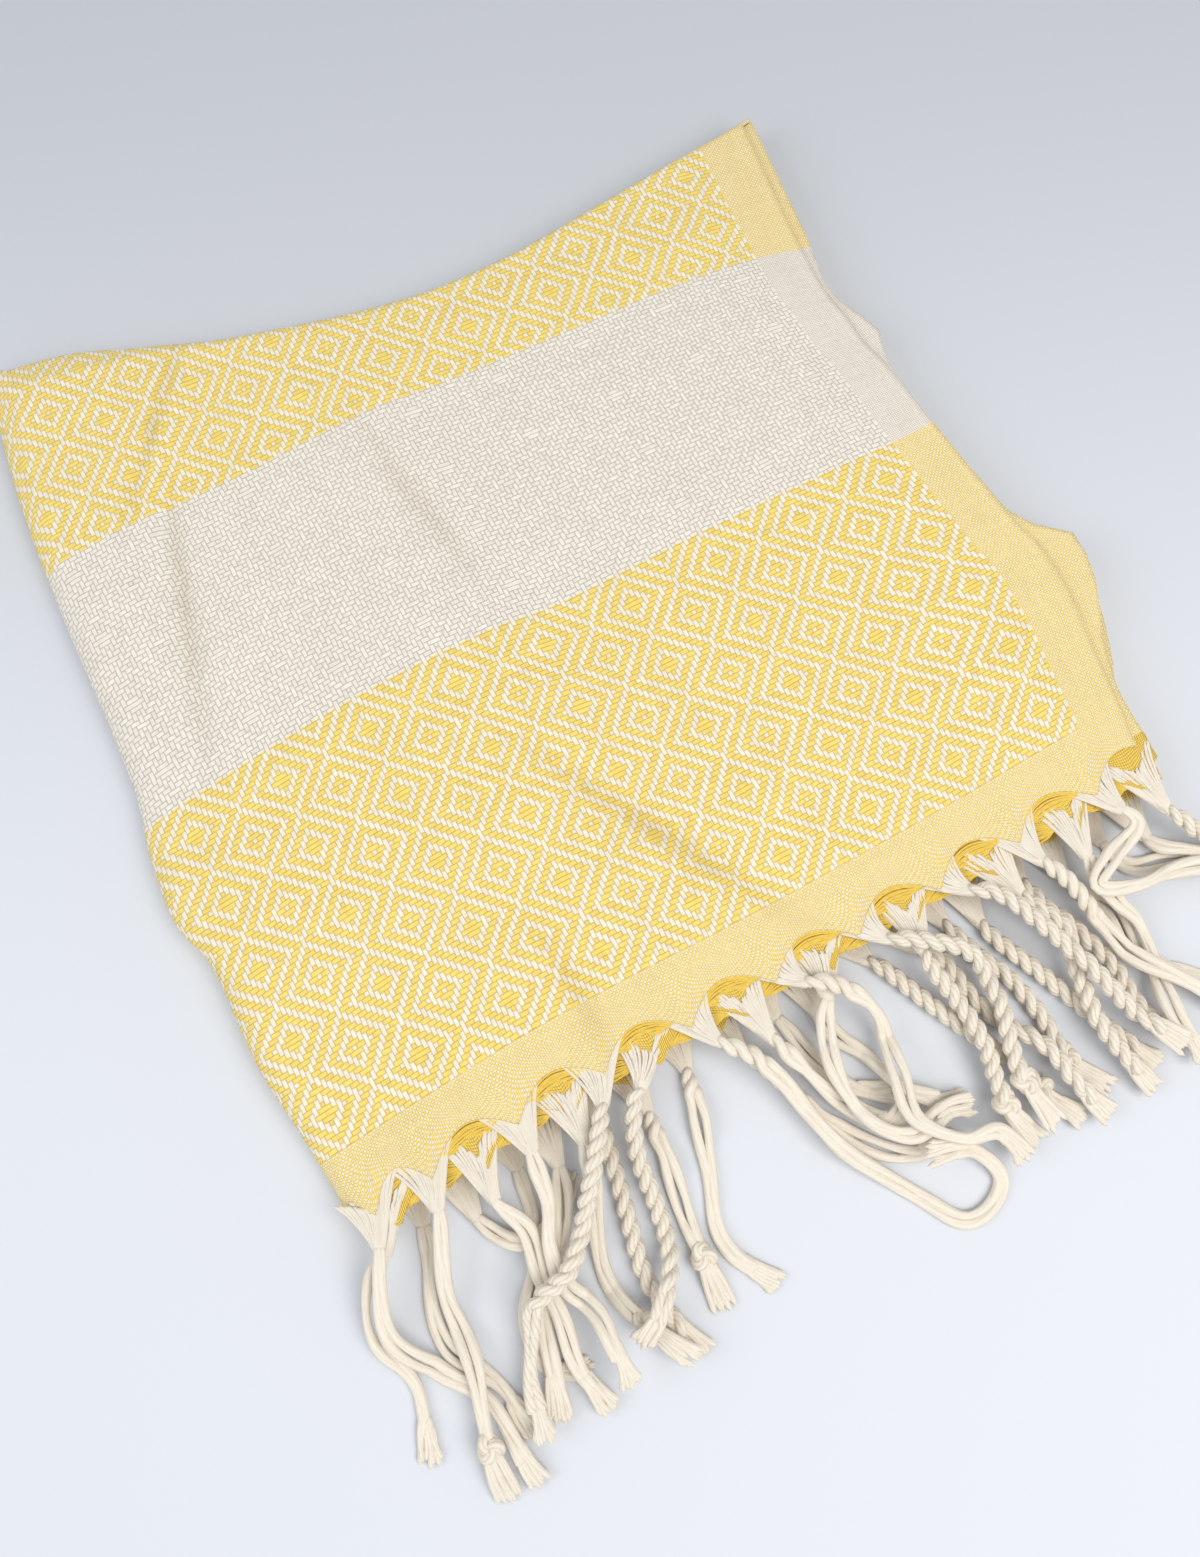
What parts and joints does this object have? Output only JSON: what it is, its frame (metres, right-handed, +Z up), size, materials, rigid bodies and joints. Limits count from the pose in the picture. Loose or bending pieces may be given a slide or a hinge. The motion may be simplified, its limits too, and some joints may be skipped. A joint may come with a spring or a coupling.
{
  "type": "folded hand towel",
  "caption": "Flat-woven hand towel with diamond weave, a plain band across it and a knotted corded fringe, folded into a flat pile.",
  "frame": {"origin": "on the table, under the middle of the folded pile, on the cloth's flat underside", "axes": "+Z up, +X towards the selvedge that lies opposite the side fold, -Y towards the fringe"},
  "size_m": [0.3018, 0.3609, 0.0168],
  "materials": {
    "cloth": "matt flat-woven cotton, yellow weft over cream warp in nested diamonds, with a cream band",
    "fringe": "matt cream cotton yarn, twisted in cords and knotted"
  },
  "bodies": {
    "root": {"towel_cloth": "cloth", "outer_end_fringe": "fringe", "inner_end_fringe": "fringe"}
  },
  "joints": []
}
